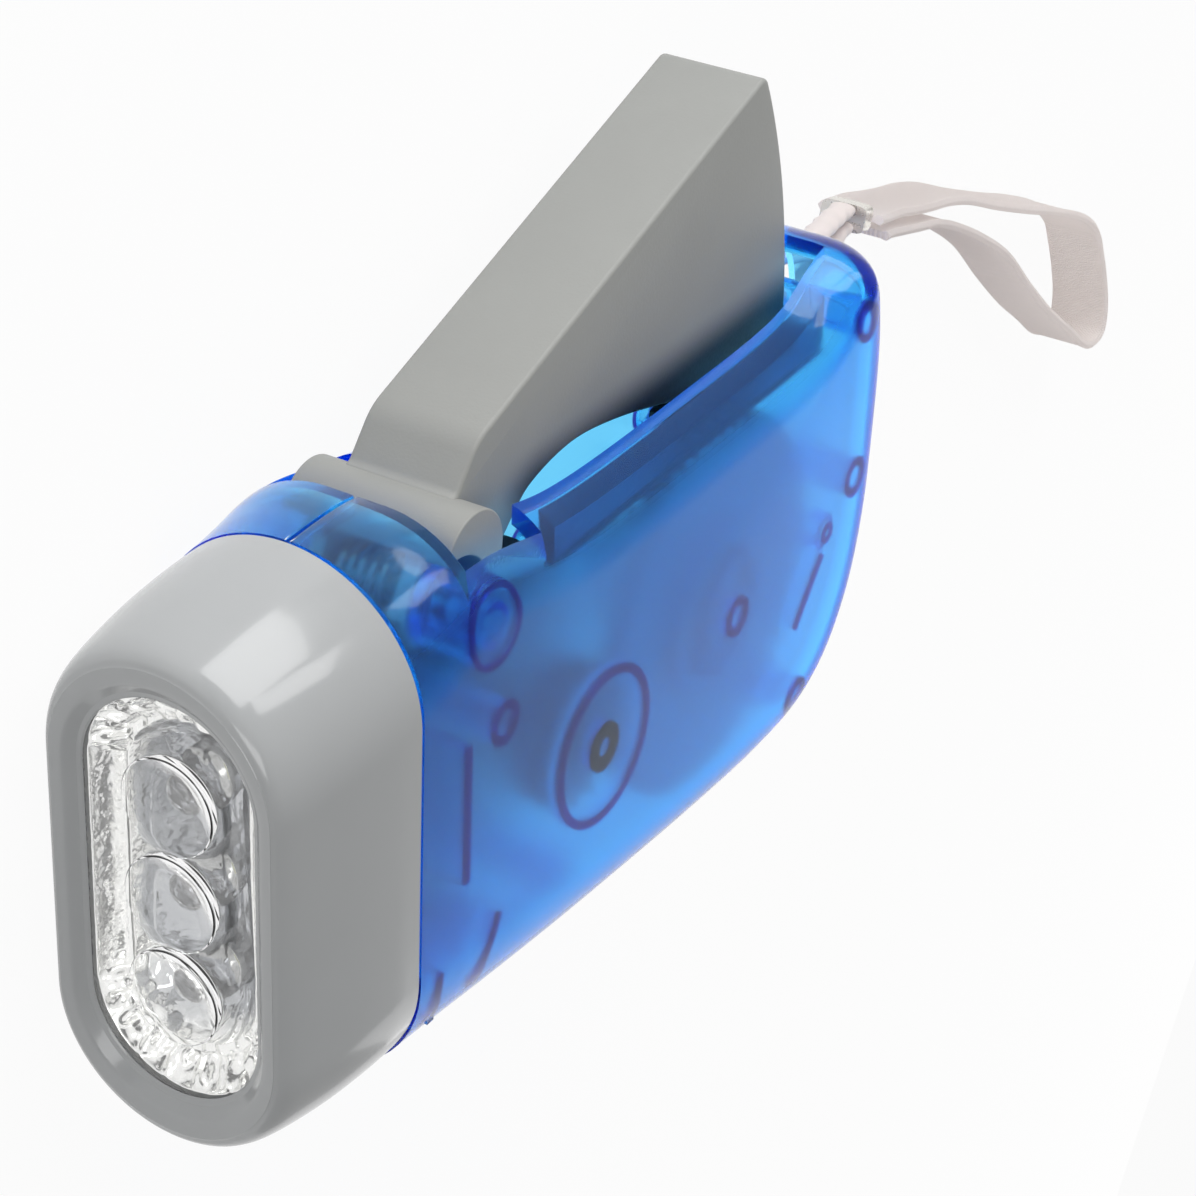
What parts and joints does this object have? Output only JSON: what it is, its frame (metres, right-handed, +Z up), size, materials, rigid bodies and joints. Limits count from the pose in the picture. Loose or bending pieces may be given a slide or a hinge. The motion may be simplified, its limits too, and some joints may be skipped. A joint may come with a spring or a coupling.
{
  "type": "squeeze dynamo torch",
  "caption": "Hand-powered torch: a translucent case with an oblong lensed head, a hinged squeeze lever that drives a flywheel generator through gears, a slide switch and a wrist strap.",
  "frame": {"origin": "on the flat lower side face of the case, half way along the case and on the mid line of the head", "axes": "+Y from the lensed head towards the tail, -X towards the squeeze lever, +Z up out of the side face the torch lies on"},
  "size_m": [0.0814, 0.2132, 0.027],
  "materials": {
    "case_lower": "translucent blue moulding, satin outside",
    "case_upper": "translucent blue moulding, satin outside",
    "bezel": "glossy grey moulding",
    "lens_window": "polished clear plastic",
    "reflector": "metallised plastic",
    "led_top": "clear epoxy",
    "led_middle": "clear epoxy",
    "led_bottom": "clear epoxy",
    "lamp_board": "green solder mask",
    "cell_stack": "shrink sleeve over button cells",
    "rectifier": "black epoxy",
    "lever": "fine matte grey moulding",
    "hinge_pin": "ground steel",
    "return_spring": "drawn spring wire",
    "drive_pinion": "white nylon",
    "drive_gear": "white nylon",
    "ratchet_pawl": "sheet spring steel",
    "drive_axle": "ground steel",
    "flywheel": "black moulding",
    "flywheel_pinion": "white nylon",
    "ring_magnet": "dark ferrite",
    "wheel_shaft": "ground steel",
    "claw_plate_lower": "tinned sheet steel",
    "claw_plate_upper": "tinned sheet steel",
    "bobbin": "white nylon",
    "coil_winding": "enamelled copper wire",
    "lead_red": "insulation",
    "lead_black": "insulation",
    "slide_button": "grey moulding with grip ridges",
    "slide_switch": "black switch body",
    "strap_cord": "round white cord",
    "strap_crimp": "folded metal crimp",
    "strap_webbing": "woven white webbing"
  },
  "bodies": {
    "case": {"case_lower": "case_lower", "case_upper": "case_upper", "bezel": "bezel", "lens_window": "lens_window", "reflector": "reflector", "led_top": "led_top", "led_middle": "led_middle", "led_bottom": "led_bottom", "lamp_board": "lamp_board", "cell_stack": "cell_stack", "rectifier": "rectifier", "hinge_pin": "hinge_pin", "return_spring": "return_spring", "drive_axle": "drive_axle", "wheel_shaft": "wheel_shaft", "claw_plate_lower": "claw_plate_lower", "claw_plate_upper": "claw_plate_upper", "bobbin": "bobbin", "coil_winding": "coil_winding", "lead_red": "lead_red", "lead_black": "lead_black", "slide_switch": "slide_switch", "strap_cord": "strap_cord", "strap_crimp": "strap_crimp", "strap_webbing": "strap_webbing"},
    "lever": {"lever": "lever"},
    "pinion": {"drive_pinion": "drive_pinion", "ratchet_pawl": "ratchet_pawl"},
    "gear": {"drive_gear": "drive_gear"},
    "flywheel": {"flywheel": "flywheel", "flywheel_pinion": "flywheel_pinion", "ring_magnet": "ring_magnet"},
    "button": {"slide_button": "slide_button"}
  },
  "joints": [
    {"name": "lever_hinge", "type": "hinge", "parent": "case", "child": "lever", "pos_m": [-0.0161, -0.022, 0.0135], "axis": [0, 0, -1], "range_deg": [0, 20], "stiffness_Nm_per_rad": 0.2, "springref_deg": -20.05, "deforming": ["return_spring"]},
    {"name": "pinion_spin", "type": "hinge", "parent": "case", "child": "pinion", "pos_m": [0.00458, 0.02176, 0.0135], "axis": [0, 0, -1], "range_deg": [0, 240]},
    {"name": "flywheel_spin", "type": "hinge", "parent": "case", "child": "flywheel", "pos_m": [0.00605, -0.003, 0.0135], "axis": [0, 0, -1], "continuous": true},
    {"name": "gear_spin", "type": "hinge", "parent": "case", "child": "gear", "pos_m": [0.00458, 0.02176, 0.0135], "axis": [0, 0, -1], "continuous": true},
    {"name": "button_slide", "type": "slide", "parent": "case", "child": "button", "axis": [0, 1, 0], "range_m": [0, 0.0045]}
  ],
  "couplings": [
    {"joint": "pinion_spin", "follows": "lever_hinge", "ratio": 12},
    {"joint": "gear_spin", "follows": "flywheel_spin", "ratio": -0.34783}
  ]
}
